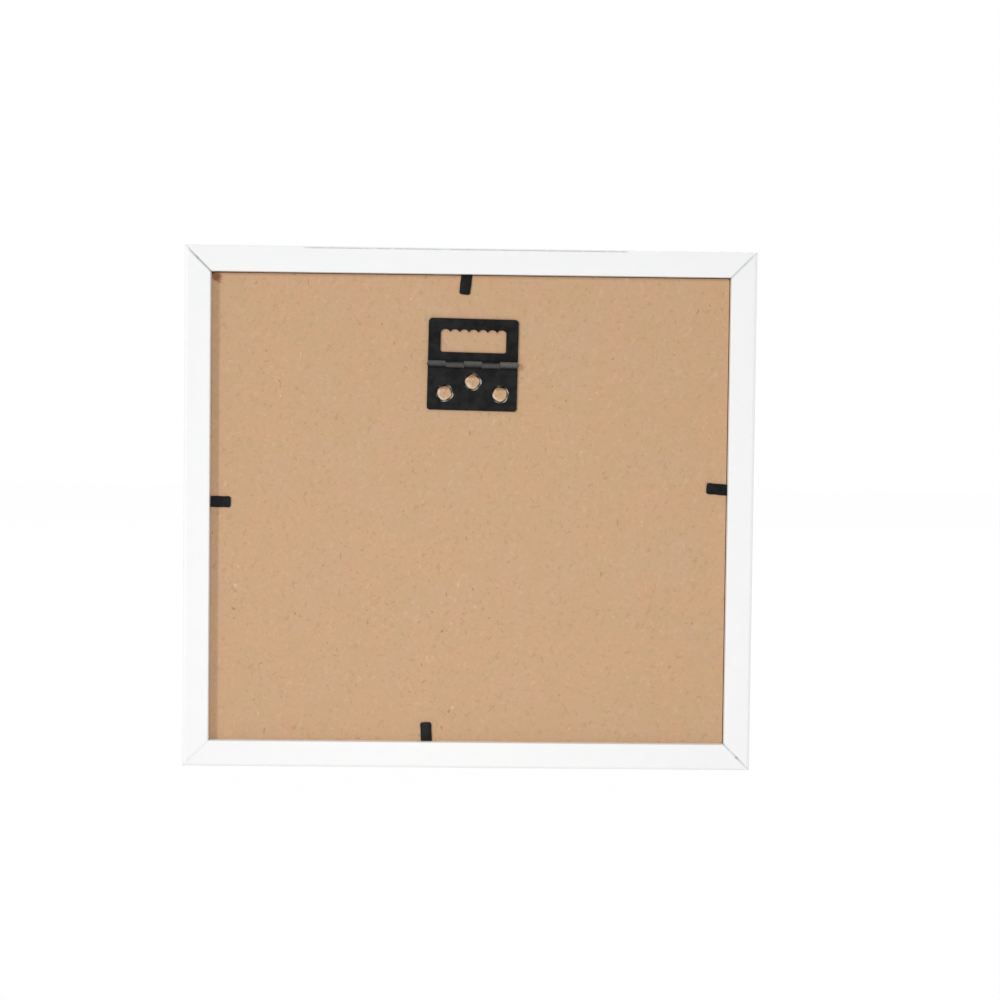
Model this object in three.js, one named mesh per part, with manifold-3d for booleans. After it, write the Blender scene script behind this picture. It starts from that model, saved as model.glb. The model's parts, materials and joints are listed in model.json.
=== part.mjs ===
// A photo frame that hangs on a wall: four mitred rails round a clear sheet, a photo insert and a
// back board, which four bendable tabs hold in. A hinged saw-tooth hanger is staked to the board.
// Millimetres, +Z up. The wall side faces -Y and the display side faces +Y. The origin is the middle
// of the frame's underside. Left and right are as seen from the wall side.

import * as THREE from "three";
import { mergeVertices } from "three/addons/utils/BufferGeometryUtils.js";
import Module from "manifold-3d";

const wasm = await Module();
wasm.setup();

const degree = Math.PI / 180;

// Back board, insert and clear sheet
const boardWidth = 255.4;
const boardHeight = 230.9;
const boardThickness = 3;
const boardCornerRadius = 1;
const glazingThickness = 2;
const insertThickness = 0.4;
const sheetPlay = 0.3; // free room on each side of a sheet between the rails
const seatGap = 0.2; // under the sheets, which stand on the bottom rail
const stackGap = 0.1; // from one layer to the next

// Rails
const railBackWidth = 12.8;
const railDepth = 15.5;
const lipReach = 5.5; // how far the front lip covers the clear sheet
const lipThickness = 4.8;
const outerEdgeRadius = 2;
const lipEdgeRadius = 0.7;
const backEdgeRadius = 0.4; // the edge round the rear opening
const mitreGap = 0.3;

// Corner nails, bent to a V across each mitre
const nailLeg = 5;
const nailThickness = 0.4;
const nailHalfAngle = 50 * degree;
const nailLength = 8;
const nailSink = 0.3; // below the back of the rails
const nailClearance = 0.1;

// Retaining tabs
const tabWidth = 5.5;
const tabThickness = 0.5;
const tabReach = 10.1; // out of the rail, before the drive of each
const tabShankDepth = 6; // into the rail
const tabEndRadius = 1.3;
const tabClearance = 0.1; // round the shank in its slot
const tabBendOffset = 0.4; // from the rail to the line that the tab bends on
const tabRootGap = 0.1; // between shank and leaf at that line

// Hanger
const hangerWidth = 44.6;
const hangerReach = 22.65; // from the hinge line to the far edge of either leaf
const hangerSheet = 0.8;
const hangerTilt = 0.9 * degree; // clockwise, as it was staked
const hingeFromMiddle = 1; // to the right of the frame's middle
const hingeBelowRail = 44.35; // under the top rail's inner edge
const pinRadius = 0.85;
const pinClearance = 0.1;
const pinOverhang = 0.4; // past the end knuckles
const knuckleCount = 5;
const knuckleGap = 0.3;
const curlStop = 25 * degree; // how far short of the half turn's end each knuckle's curl stops
const notchClearance = 0.1; // from a knuckle to the notch in the other leaf
const loopCornerRadius = 2;
const plateCornerRadius = 1.5;

// Window of the hanging loop, measured from the hinge line
const windowWidth = 32.35;
const windowNear = 6;
const windowFar = 17.3;
const windowCornerRadius = 1;
const scallopCount = 7;
const scallopDepth = 1.4;

// Burst stakes: three places where the plate was pierced into the board
const stakeMouthRadius = 4.5;
const stakeNeckRadius = 3.9;
const stakeTipRadius = 3.6;
const stakeWall = 0.5;
const stakeDepth = 2; // into the board
const stakeFlange = 0.6; // where the burst runs out into the flat plate
const stakeRollDepth = 0.2; // at which the mouth has drawn half way in
const petalCount = 6;
const petalNotchWidth = 1.4; // between the tips of two petals
const stakeClearance = 0.15;
const stakeSideSpread = 13.7;
const stakeSideDrop = 14.3;
const stakeMiddleDrop = 8.4;

// Each side of the frame and the corner at its far end, with its turn about Y, its tab's place along the
// rail, the tab's lean, and how much deeper than its usual depth it was driven; angles in degrees
const sides = [
  { name: "bottom", corner: "bottom_right", turn: 0, tab: { place: -20, lean: -2.9, drive: 0.7 } },
  { name: "right", corner: "top_right", turn: -90, tab: { place: 10.8, lean: 4.4, drive: -0.3 } },
  { name: "top", corner: "top_left", turn: 180, tab: { place: 2.4, lean: 6.2, drive: 0.2 } },
  { name: "left", corner: "bottom_left", turn: 90, tab: { place: -2.4, lean: 0.4, drive: 0 } },
];

// Sizes that follow
const rebateWidth = boardWidth + 2 * sheetPlay;
const rebateHeight = boardHeight + 2 * sheetPlay;
const frameWidth = rebateWidth + 2 * railBackWidth;
const frameHeight = rebateHeight + 2 * railBackWidth;
const wallPlane = -railDepth / 2;
const displayPlane = railDepth / 2;
const lipSeat = displayPlane - lipThickness;
const glazingFront = lipSeat - stackGap;
const insertFront = glazingFront - glazingThickness - stackGap;
const boardFront = insertFront - insertThickness - stackGap;
const boardBack = boardFront - boardThickness;
const sheetBottom = railBackWidth + seatGap;
const tabFront = boardBack - stackGap;
const tabBack = tabFront - tabThickness;
const tabMiddle = (tabFront + tabBack) / 2;
const knuckleInner = pinRadius + pinClearance;
const knuckleOuter = knuckleInner + hangerSheet;
const knucklePitch = hangerWidth / knuckleCount;
const hingeDepth = boardBack - stackGap - knuckleOuter;
const hingeHeight = railBackWidth + rebateHeight - hingeBelowRail;
const notchEdge = knuckleOuter + notchClearance;
const roundSides = 24; // of a full round section
const cornerSteps = 8; // of a rounded corner in a plate
const edgeSteps = 5; // of a rounded edge along a rail
const margin = 1; // by which a cutter runs past what it cuts

// Finishes
const finishes = {
  whiteFoil: new THREE.MeshStandardMaterial({ color: 0xf2f2f0, roughness: 0.45 }),
  fibreboard: new THREE.MeshStandardMaterial({ color: 0xc9a37c, roughness: 0.85 }),
  clearSheet: new THREE.MeshStandardMaterial({
    color: 0xf4faf8,
    roughness: 0.05,
    transparent: true,
    opacity: 0.25,
  }),
  paper: new THREE.MeshStandardMaterial({ color: 0xf3f0e8, roughness: 0.8 }),
  blackSteel: new THREE.MeshStandardMaterial({ color: 0x222223, roughness: 0.5, metalness: 0.3 }),
  brightSteel: new THREE.MeshStandardMaterial({ color: 0xb9babb, roughness: 0.35, metalness: 0.9 }),
};

// Joining and cutting
function toSolid(geometry) {
  const bare = geometry.index ? geometry.toNonIndexed() : geometry.clone();
  bare.deleteAttribute("normal");
  bare.deleteAttribute("uv");
  const merged = mergeVertices(bare, 1e-4);
  const vertProperties = merged.getAttribute("position").array;
  const triVerts = new Uint32Array(merged.index.array);
  return new wasm.Manifold(new wasm.Mesh({ numProp: 3, vertProperties, triVerts }));
}

function toGeometry(solid) {
  const mesh = solid.getMesh();
  const geometry = new THREE.BufferGeometry();
  geometry.setAttribute("position", new THREE.BufferAttribute(mesh.vertProperties, 3));
  geometry.setIndex(new THREE.BufferAttribute(mesh.triVerts, 1));
  const faceted = geometry.toNonIndexed();
  faceted.computeVertexNormals();
  return faceted;
}

function joined(solids) {
  return solids.reduce((whole, next) => whole.add(next));
}

function cutBy(solid, cutters) {
  return cutters.reduce((left, cutter) => left.subtract(cutter), solid);
}

// A plate whose outline lies in X and Z, from its face at yFront back to yFront - thickness
function plate(outline, yFront, thickness) {
  const geometry = new THREE.ExtrudeGeometry(outline, {
    depth: thickness,
    bevelEnabled: false,
    curveSegments: cornerSteps,
  });
  return geometry.rotateX(90 * degree).translate(0, yFront, 0);
}

// A bar along X with its middle at x = 0, whose section is drawn as (z, y)
function bar(section, length) {
  const geometry = new THREE.ExtrudeGeometry(section, {
    depth: length,
    bevelEnabled: false,
    curveSegments: edgeSteps,
  });
  return geometry.translate(0, 0, -length / 2).rotateY(-90 * degree);
}

function box(sizeX, sizeY, sizeZ) {
  return new THREE.BoxGeometry(sizeX, sizeY, sizeZ);
}

function roundedRectangle(left, bottom, right, top, radii) {
  const [lowerRight, upperRight, upperLeft, lowerLeft] = radii;
  const shape = new THREE.Shape();
  const corner = (x, y, radius, start) => {
    if (radius > 0) shape.absarc(x, y, radius, start, start + 90 * degree, false);
  };
  shape.moveTo(left + lowerLeft, bottom);
  shape.lineTo(right - lowerRight, bottom);
  corner(right - lowerRight, bottom + lowerRight, lowerRight, -90 * degree);
  shape.lineTo(right, top - upperRight);
  corner(right - upperRight, top - upperRight, upperRight, 0);
  shape.lineTo(left + upperLeft, top);
  corner(left + upperLeft, top - upperLeft, upperLeft, 90 * degree);
  shape.lineTo(left, bottom + lowerLeft);
  corner(left + lowerLeft, bottom + lowerLeft, lowerLeft, 180 * degree);
  return shape;
}

function piece(name, geometry, finish) {
  const mesh = new THREE.Mesh(geometry, finish);
  mesh.name = name;
  return mesh;
}

// Rail: an L section with rounded edges, drawn inwards from the frame's outer face
function railSection() {
  const lipEdge = railBackWidth + lipReach;
  const section = new THREE.Shape();
  const quarterTurn = (x, y, radius, start) => {
    section.absarc(x, y, radius, start, start + 90 * degree, false);
  };
  section.moveTo(outerEdgeRadius, wallPlane);
  section.lineTo(railBackWidth - backEdgeRadius, wallPlane);
  quarterTurn(railBackWidth - backEdgeRadius, wallPlane + backEdgeRadius, backEdgeRadius, -90 * degree);
  section.lineTo(railBackWidth, lipSeat);
  section.lineTo(lipEdge, lipSeat);
  section.lineTo(lipEdge, displayPlane - lipEdgeRadius);
  quarterTurn(lipEdge - lipEdgeRadius, displayPlane - lipEdgeRadius, lipEdgeRadius, 0);
  section.lineTo(outerEdgeRadius, displayPlane);
  quarterTurn(outerEdgeRadius, displayPlane - outerEdgeRadius, outerEdgeRadius, 90 * degree);
  section.lineTo(0, wallPlane + outerEdgeRadius);
  quarterTurn(outerEdgeRadius, wallPlane + outerEdgeRadius, outerEdgeRadius, 180 * degree);
  return section;
}

// The rail along X with its outer face at z = 0 and both ends cut at 45 degrees
function mitredRail(length) {
  const geometry = bar(railSection(), length);
  const position = geometry.getAttribute("position");
  const shave = mitreGap / Math.SQRT2;
  for (let i = 0; i < position.count; i += 1) {
    const end = Math.sign(position.getX(i));
    position.setX(i, end * (length / 2 - position.getZ(i) - shave));
  }
  return geometry;
}

// Corner nail: a V in plan, symmetric about z, opening towards +z, grown by a clearance for its slot
function cornerNail(growth) {
  const along = new THREE.Vector2(Math.sin(nailHalfAngle), Math.cos(nailHalfAngle));
  const across = new THREE.Vector2(along.y, -along.x).multiplyScalar(nailThickness / 2 + growth);
  const reach = along.clone().multiplyScalar(nailLeg + growth);
  const apex = (nailThickness / 2 + growth) / Math.sin(nailHalfAngle);
  const outline = new THREE.Shape([
    new THREE.Vector2(0, -apex),
    new THREE.Vector2(reach.x + across.x, reach.y + across.y),
    new THREE.Vector2(reach.x - across.x, reach.y - across.y),
    new THREE.Vector2(0, apex),
    new THREE.Vector2(across.x - reach.x, reach.y - across.y),
    new THREE.Vector2(-across.x - reach.x, reach.y + across.y),
  ]);
  const top = wallPlane + nailSink;
  return plate(outline, top + nailLength + growth, nailLength + growth);
}

// The nail's place at a rail's end: half way along the mitre of the back face, its axis on the mitre
function placeNail(object, length, end) {
  const inset = railBackWidth / 2;
  object.rotation.y = -end * 45 * degree;
  object.position.set(end * (length / 2 - inset), 0, inset);
  object.updateMatrix();
  return object;
}

function nailSlot(length, end) {
  const slot = cornerNail(nailClearance);
  const opening = cornerNail(nailClearance).translate(0, -nailLength, 0);
  const place = placeNail(new THREE.Object3D(), length, end).matrix;
  return joined([toSolid(slot.applyMatrix4(place)), toSolid(opening.applyMatrix4(place))]);
}

// Retaining tab: one strip that leaves the rail at z = 0 towards +z. It leans in its own plane and was
// driven a little more or less than the others. For its slot it is grown at its sides and on its faces.
function tabStrip(tab, sideGrowth, faceGrowth) {
  const halfWidth = tabWidth / 2 + sideGrowth;
  const foot = -tabShankDepth - tab.drive - sideGrowth;
  const radii = [0, tabEndRadius, tabEndRadius, 0];
  const outline = roundedRectangle(-halfWidth, foot, halfWidth, tabReach - tab.drive, radii);
  const strip = plate(outline, tabFront + faceGrowth, tabThickness + 2 * faceGrowth);
  return toSolid(strip.rotateY(tab.lean * degree));
}

function tabShank(tab) {
  const end = tabBendOffset - tabThickness / 2 - tabRootGap;
  const size = 2 * (tabShankDepth + tabReach + tabWidth);
  const inRail = toSolid(box(size, size, size).translate(0, tabMiddle, end - size / 2));
  return tabStrip(tab, 0, 0).intersect(inRail);
}

// The leaf's root is rounded about the bend line, so that it turns clear of the shank and the rail
function tabLeaf(tab) {
  const end = tabReach + tabShankDepth;
  const profile = new THREE.Shape();
  profile.moveTo(tabBendOffset, tabBack);
  profile.lineTo(end, tabBack);
  profile.lineTo(end, tabFront);
  profile.lineTo(tabBendOffset, tabFront);
  profile.absarc(tabBendOffset, tabMiddle, tabThickness / 2, 90 * degree, 270 * degree, false);
  const folded = toSolid(bar(profile, 2 * (tabWidth + tabReach)));
  return folded.intersect(tabStrip(tab, 0, margin));
}

function tabSlot(tab) {
  return tabStrip(tab, tabClearance, tabClearance).translate([tab.place, 0, railBackWidth]);
}

function makeSide(side) {
  const upright = side.name === "left" || side.name === "right";
  const length = upright ? frameHeight : frameWidth;
  const outerFace = -(upright ? frameWidth : frameHeight) / 2;
  const cuts = [nailSlot(length, 1), nailSlot(length, -1), tabSlot(side.tab)];
  const rail = cutBy(toSolid(mitredRail(length)), cuts);

  const group = new THREE.Group();
  const onRail = new THREE.Group();
  const atTab = new THREE.Group();
  atTab.position.set(side.tab.place, 0, railBackWidth);
  atTab.add(piece(`tab_shank_${side.name}`, toGeometry(tabShank(side.tab)), finishes.blackSteel));
  atTab.add(piece(`retaining_tab_${side.name}`, toGeometry(tabLeaf(side.tab)), finishes.blackSteel));
  const nail = piece(`corner_nail_${side.corner}`, cornerNail(0), finishes.brightSteel);
  onRail.add(piece(`rail_${side.name}`, toGeometry(rail), finishes.whiteFoil));
  onRail.add(placeNail(nail, length, 1));
  onRail.add(atTab);
  onRail.position.z = outerFace;
  group.add(onRail);
  group.rotation.y = side.turn * degree;
  group.position.z = frameHeight / 2;
  return group;
}

// Hanger leaves are drawn about the hinge line, pointing to -z, with the board on the +y side
function knuckle() {
  const stop = -180 * degree - curlStop;
  const neck = notchEdge + margin;
  const section = new THREE.Shape();
  section.moveTo(-neck, knuckleOuter);
  section.lineTo(-neck, knuckleInner);
  section.lineTo(0, knuckleInner);
  section.absarc(0, 0, knuckleInner, 90 * degree, stop, true);
  section.lineTo(knuckleOuter * Math.cos(stop), knuckleOuter * Math.sin(stop));
  section.absarc(0, 0, knuckleOuter, stop, 90 * degree, false);
  const geometry = new THREE.ExtrudeGeometry(section, {
    depth: knucklePitch - knuckleGap,
    bevelEnabled: false,
    curveSegments: roundSides,
  });
  return geometry.translate(0, 0, (knuckleGap - knucklePitch) / 2).rotateY(-90 * degree);
}

// Every second knuckle, starting from the first or the second
function knuckles(first) {
  const found = [];
  for (let i = first; i < knuckleCount; i += 2) {
    const middle = (i + 0.5) * knucklePitch - hangerWidth / 2;
    found.push(toSolid(knuckle().translate(middle, 0, 0)));
  }
  return joined(found);
}

function leafOutline(cornerRadius) {
  const half = hangerWidth / 2 - knuckleGap / 2;
  return roundedRectangle(-half, -hangerReach, half, -notchEdge, [cornerRadius, 0, 0, cornerRadius]);
}

function leafPlate(outline) {
  return toSolid(plate(outline, knuckleOuter, hangerSheet));
}

// The loop's window: straight sides, and a far edge of scallops with a pointed tooth between each two
function hangingWindow() {
  const half = windowWidth / 2;
  const toothTips = -(windowFar - scallopDepth);
  const chord = windowWidth / scallopCount;
  const radius = (chord * chord / 4 + scallopDepth * scallopDepth) / (2 * scallopDepth);
  const startAngle = Math.atan2(scallopDepth - radius, chord / 2);
  const endAngle = -180 * degree - startAngle;
  const near = -windowNear - windowCornerRadius;
  const path = new THREE.Path();
  path.moveTo(half - windowCornerRadius, -windowNear);
  path.absarc(half - windowCornerRadius, near, windowCornerRadius, 90 * degree, 0, true);
  path.lineTo(half, toothTips);
  for (let i = scallopCount - 1; i >= 0; i -= 1) {
    const middle = (i + 0.5) * chord - half;
    path.absarc(middle, toothTips - scallopDepth + radius, radius, startAngle, endAngle, true);
  }
  path.lineTo(-half, near);
  path.absarc(windowCornerRadius - half, near, windowCornerRadius, 180 * degree, 90 * degree, true);
  path.closePath();
  return path;
}

function hangerLoop() {
  const outline = leafOutline(loopCornerRadius);
  outline.holes.push(hangingWindow());
  return leafPlate(outline).add(knuckles(1));
}

const stakePlaces = [
  [-stakeSideSpread, -stakeSideDrop],
  [0, -stakeMiddleDrop],
  [stakeSideSpread, -stakeSideDrop],
];

// One burst stake about the Y axis: a mouth that rolls in from the plate to a ring of pointed petals
function burstStake() {
  const tip = knuckleOuter + stackGap + stakeDepth;
  const flange = stakeMouthRadius + stakeFlange;
  const wall = new THREE.LatheGeometry(
    [
      new THREE.Vector2(flange, knuckleInner),
      new THREE.Vector2(flange, knuckleOuter),
      new THREE.Vector2(stakeNeckRadius + stakeWall, knuckleOuter),
      new THREE.Vector2(stakeTipRadius + stakeWall, tip),
      new THREE.Vector2(stakeTipRadius, tip),
      new THREE.Vector2(stakeNeckRadius, knuckleOuter),
      new THREE.Vector2((stakeMouthRadius + stakeNeckRadius) / 2, knuckleInner + stakeRollDepth),
      new THREE.Vector2(stakeMouthRadius, knuckleInner),
      new THREE.Vector2(flange, knuckleInner),
    ],
    roundSides,
  );
  const notchEnd = ((petalNotchWidth / 2) * (stakeDepth + margin)) / stakeDepth;
  const notch = new THREE.Shape([
    new THREE.Vector2(-notchEnd, tip + margin),
    new THREE.Vector2(0, knuckleOuter + stackGap),
    new THREE.Vector2(notchEnd, tip + margin),
  ]);
  const cutters = [];
  for (let i = 0; i < petalCount; i += 1) {
    const cutter = new THREE.ExtrudeGeometry(notch, { depth: flange, bevelEnabled: false });
    cutters.push(toSolid(cutter.rotateY((360 / petalCount) * i * degree)));
  }
  return cutBy(toSolid(wall), cutters);
}

function hangerPlate() {
  const outline = leafOutline(plateCornerRadius);
  for (const [x, z] of stakePlaces) {
    const mouth = new THREE.Path();
    mouth.absarc(x, z, stakeMouthRadius + stakeFlange / 2, 0, 360 * degree, true);
    outline.holes.push(mouth);
  }
  const stakes = stakePlaces.map(([x, z]) => burstStake().translate([x, 0, z]));
  return joined([leafPlate(outline), knuckles(0), ...stakes]);
}

function hingePin() {
  const length = hangerWidth + 2 * pinOverhang;
  return new THREE.CylinderGeometry(pinRadius, pinRadius, length, roundSides).rotateZ(90 * degree);
}

function makeHanger() {
  const group = new THREE.Group();
  const loop = piece("hanger_loop", toGeometry(hangerLoop()), finishes.blackSteel);
  loop.rotation.y = 180 * degree;
  group.add(piece("hanger_plate", toGeometry(hangerPlate()), finishes.blackSteel));
  group.add(loop);
  group.add(piece("hinge_pin", hingePin(), finishes.blackSteel));
  group.rotation.y = hangerTilt;
  group.position.set(hingeFromMiddle, hingeDepth, hingeHeight);
  group.updateMatrix();
  return group;
}

// The ring that a stake's petals pressed into the board, leaving a plug in its middle
function stakeGroove() {
  const inner = stakeTipRadius - stakeClearance;
  const outer = stakeNeckRadius + stakeWall + stakeClearance;
  const mouth = knuckleOuter + stackGap - margin;
  const floor = knuckleOuter + stackGap + stakeDepth + stakeClearance;
  return new THREE.LatheGeometry(
    [
      new THREE.Vector2(outer, mouth),
      new THREE.Vector2(outer, floor),
      new THREE.Vector2(inner, floor),
      new THREE.Vector2(inner, mouth),
      new THREE.Vector2(outer, mouth),
    ],
    roundSides,
  );
}

function backBoard(hanger) {
  const half = boardWidth / 2;
  const radii = Array(4).fill(boardCornerRadius);
  const outline = roundedRectangle(-half, sheetBottom, half, sheetBottom + boardHeight, radii);
  const grooves = stakePlaces.map(([x, z]) => {
    const groove = stakeGroove().translate(x, 0, z);
    return toSolid(groove.applyMatrix4(hanger.matrix));
  });
  return cutBy(toSolid(plate(outline, boardFront, boardThickness)), grooves);
}

// A plain sheet as large as the board, with its front face at yFront
function flatSheet(thickness, yFront) {
  const sheet = box(boardWidth, thickness, boardHeight);
  return sheet.translate(0, yFront - thickness / 2, sheetBottom + boardHeight / 2);
}

const frame = new THREE.Group();
const hanger = makeHanger();
for (const side of sides) frame.add(makeSide(side));
frame.add(piece("glazing", flatSheet(glazingThickness, glazingFront), finishes.clearSheet));
frame.add(piece("photo_insert", flatSheet(insertThickness, insertFront), finishes.paper));
frame.add(piece("back_board", toGeometry(backBoard(hanger)), finishes.fibreboard));
frame.add(hanger);

export default frame;
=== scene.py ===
# Looks for a white wall photo frame, seen from its back
# Shapes are worked out in millimetres along the model's own axes, and makePiece turns them into metres

import json
import math

import bmesh
import bpy
import numpy as np
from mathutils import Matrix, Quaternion, Vector


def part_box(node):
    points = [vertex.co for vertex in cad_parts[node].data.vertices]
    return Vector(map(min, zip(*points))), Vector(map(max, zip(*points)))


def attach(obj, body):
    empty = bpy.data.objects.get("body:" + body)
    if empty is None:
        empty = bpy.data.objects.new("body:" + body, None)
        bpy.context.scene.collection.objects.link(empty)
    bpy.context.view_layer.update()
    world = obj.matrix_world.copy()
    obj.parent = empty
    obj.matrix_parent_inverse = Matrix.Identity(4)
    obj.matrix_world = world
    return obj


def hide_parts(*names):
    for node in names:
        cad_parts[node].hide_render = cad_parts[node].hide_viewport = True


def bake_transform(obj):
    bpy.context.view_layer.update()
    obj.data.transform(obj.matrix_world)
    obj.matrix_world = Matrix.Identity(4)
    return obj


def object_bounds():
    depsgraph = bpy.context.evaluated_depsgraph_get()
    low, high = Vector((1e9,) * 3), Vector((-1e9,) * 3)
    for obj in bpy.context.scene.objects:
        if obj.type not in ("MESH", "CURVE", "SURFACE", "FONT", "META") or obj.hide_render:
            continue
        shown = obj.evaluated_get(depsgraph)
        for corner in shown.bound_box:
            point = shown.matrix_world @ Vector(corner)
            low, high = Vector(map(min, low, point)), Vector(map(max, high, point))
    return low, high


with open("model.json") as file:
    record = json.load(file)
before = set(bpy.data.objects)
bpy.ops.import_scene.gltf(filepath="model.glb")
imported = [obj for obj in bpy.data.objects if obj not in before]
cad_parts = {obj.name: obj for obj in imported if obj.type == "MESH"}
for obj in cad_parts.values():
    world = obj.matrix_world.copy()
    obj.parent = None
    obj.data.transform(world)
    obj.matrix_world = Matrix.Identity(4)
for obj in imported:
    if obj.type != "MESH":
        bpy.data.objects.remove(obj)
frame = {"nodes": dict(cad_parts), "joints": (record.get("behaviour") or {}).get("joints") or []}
cadLow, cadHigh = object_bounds()
scene = bpy.context.scene
scene.view_settings.view_transform = "Standard"
mm = 0.001

frameWidth = (cadHigh.x - cadLow.x) / mm
frameHeight = (cadHigh.z - cadLow.z) / mm
joints = {joint["name"]: joint for joint in frame["joints"]}


def nodeBox(node):
    low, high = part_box(node)
    return np.array(low) / mm, np.array(high) / mm


def addObject(name, data):
    added = bpy.data.objects.new(name, data)
    scene.collection.objects.link(added)
    return added


def addAimed(name, data, place, aim, roll=0.0):
    # an object whose -Z points from place to aim, with +Y up, then rolled about that line
    added = addObject(name, data)
    added.location = place
    added.rotation_mode = "QUATERNION"
    turn = (Vector(aim) - Vector(place)).to_track_quat("-Z", "Y")
    added.rotation_quaternion = turn @ Quaternion((0, 0, 1), math.radians(roll))
    return added


# Camera: about a metre behind the frame, a little above its middle, looking slightly down and rolled
cameraView = {
    "place": (-0.0040, -0.9935, 0.1743),
    "aim": (0.01515, -0.0078, 0.13343),
    "roll": 0.68,  # degrees
    "lens": 72.0,  # on a sensor 36 mm wide
}
cameraData = bpy.data.cameras.new("viewCamera")
cameraData.lens = cameraView["lens"]
scene.camera = addAimed("viewCamera", cameraData, cameraView["place"], cameraView["aim"], cameraView["roll"])
print("camera placed")


# Surfaces on grids
weldDistance = 0.0002  # millimetres
crispAngle = 35  # degrees; an edge that turns more isn't smoothed over


def bandFaces(rows, columns):
    # quads between neighbouring points of a grid stored row by row, each row a closed loop
    r, c = np.meshgrid(np.arange(rows - 1), np.arange(columns), indexing="ij")
    here, below = r * columns, (r + 1) * columns
    after = (c + 1) % columns
    return np.stack([here + c, below + c, below + after, here + after], -1).reshape(-1, 4).tolist()


def tube(grid, startCap=True):
    # points and faces of closed loops carried along a path, each a row of the grid, with a flat face on the
    # last one and, by default, on the first
    rows, columns = grid.shape[:2]
    last = (rows - 1) * columns
    start = [list(range(columns))] if startCap else []
    faces = bandFaces(rows, columns) + start + [list(range(last, last + columns))]
    return grid.reshape(-1, 3), faces


def joined(*parts):
    return np.concatenate(parts)


def arc(centreU, centreV, radius, startDegrees, endDegrees, steps):
    # points on a circle from one angle to another
    angle = np.radians(np.linspace(startDegrees, endDegrees, steps + 1))
    return np.stack([centreU + radius * np.cos(angle), centreV + radius * np.sin(angle)], 1)


def line(start, end, steps):
    # points from start towards end, without the end itself
    share = np.linspace(0, 1, steps + 1)[:-1, None]
    return np.asarray(start, float) * (1 - share) + np.asarray(end, float) * share


def circle(columns):
    return np.linspace(0, 2 * math.pi, columns + 1)[:-1]


def turnedAboutY(x, z, degrees):
    turn = math.radians(degrees)
    return x * math.cos(turn) + z * math.sin(turn), z * math.cos(turn) - x * math.sin(turn)


def atLevel(across, level):
    return np.stack([across, np.full(len(across), level)], 1)


def waves(angle, index, rows):
    # unevenness round a circle: the sum of share * sin(count * angle + phase * index) over the rows
    return sum(share * np.sin(count * angle + phase * index) for count, phase, share in rows)


def tidySurface(mesh):
    # welds points that coincide, turns the faces outwards and keeps sharp edges crisp
    bm = bmesh.new()
    bm.from_mesh(mesh)
    bmesh.ops.remove_doubles(bm, verts=bm.verts, dist=weldDistance * mm)
    bmesh.ops.recalc_face_normals(bm, faces=bm.faces)
    bm.to_mesh(mesh)
    bm.free()
    mesh.shade_smooth()
    mesh.set_sharp_from_angle(angle=math.radians(crispAngle))


def makePiece(name, points, faces, finishes, faceSlots=None, wearAndSheen=None):
    # the last argument is how worn the coat is at each point, with painted sheen and glints where light
    # falls, for the finish that reads it
    mesh = bpy.data.meshes.new(name)
    mesh.from_pydata((np.asarray(points) * mm).tolist(), [], faces)
    for finish in finishes:
        mesh.materials.append(finish)
    if faceSlots is not None:
        mesh.polygons.foreach_set("material_index", np.asarray(faceSlots, np.int32))
    if wearAndSheen is not None:
        mesh.attributes.new("wearAndSheen", "FLOAT", "POINT").data.foreach_set("value", np.asarray(wearAndSheen, np.float32))
    tidySurface(mesh)
    return addObject(name, mesh)


def dress(piece, body, node):
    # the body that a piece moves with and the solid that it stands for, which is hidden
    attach(piece, body)
    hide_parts(node)


def flattenFaces(piece):
    # shades wide faces flat right up to the rounded edges beside them
    shading = piece.modifiers.new("flatFaces", "WEIGHTED_NORMAL")
    shading.keep_sharp = True


def easeEdges(piece, width, allowed, sharperThan=40, segments=2):
    # rounds the sharp edges by a live bevel; allowed is a test on an edge's middle, in millimetres
    bm = bmesh.new()
    bm.from_mesh(piece.data)
    weight = bm.edges.layers.float.new("bevel_weight_edge")
    for edge in bm.edges:
        middle = (edge.verts[0].co + edge.verts[1].co) / 2 / mm
        edge[weight] = edge.calc_face_angle() > math.radians(sharperThan) and allowed(middle)
    bm.to_mesh(piece.data)
    bm.free()
    bevel = piece.modifiers.new("easedEdges", "BEVEL")
    bevel.limit_method = "WEIGHT"
    bevel.width = width * mm
    bevel.segments = segments
    bevel.use_clamp_overlap = False
    flattenFaces(piece)


def prism(outline, yLow, yHigh):
    # an outline in x and z carried straight from one depth to another
    return tube(np.array([np.insert(outline, 1, y, axis=1) for y in (yLow, yHigh)]))


def carve(piece, cuts, cutSlot):
    # takes closed shapes out of a piece; the new faces get the finish in the piece's slot cutSlot
    cutters = []
    for number, (points, faces) in enumerate(cuts):
        slots = [cutSlot] * len(faces)
        cutters.append(makePiece(f"{piece.name}.cut{number}", points, faces, piece.data.materials, slots))
        boolean = piece.modifiers.new("cut", "BOOLEAN")
        boolean.operation = "DIFFERENCE"
        boolean.solver = "EXACT"
        boolean.object = cutters[-1]
    graph = bpy.context.evaluated_depsgraph_get()
    carved = bpy.data.meshes.new_from_object(piece.evaluated_get(graph))
    piece.modifiers.clear()
    piece.data = carved
    tidySurface(carved)
    for cutter in cutters:
        bpy.data.objects.remove(cutter)


# Nodes for the finishes, each made in the tree of the outputs that it reads
# In the looks, clouds and gloss hold what mottle takes after the coordinates, fibres, scuffs and grain what
# noise takes, tooth the bump's strength and depth, and a range what ramp takes
def newFinish(name):
    finish = bpy.data.materials.new(name)
    finish.use_nodes = True
    nodes = finish.node_tree.nodes
    return finish, nodes["Principled BSDF"], nodes.new("ShaderNodeTexCoord").outputs["Object"]


def isOutput(value):
    return isinstance(value, bpy.types.NodeSocket)


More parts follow.
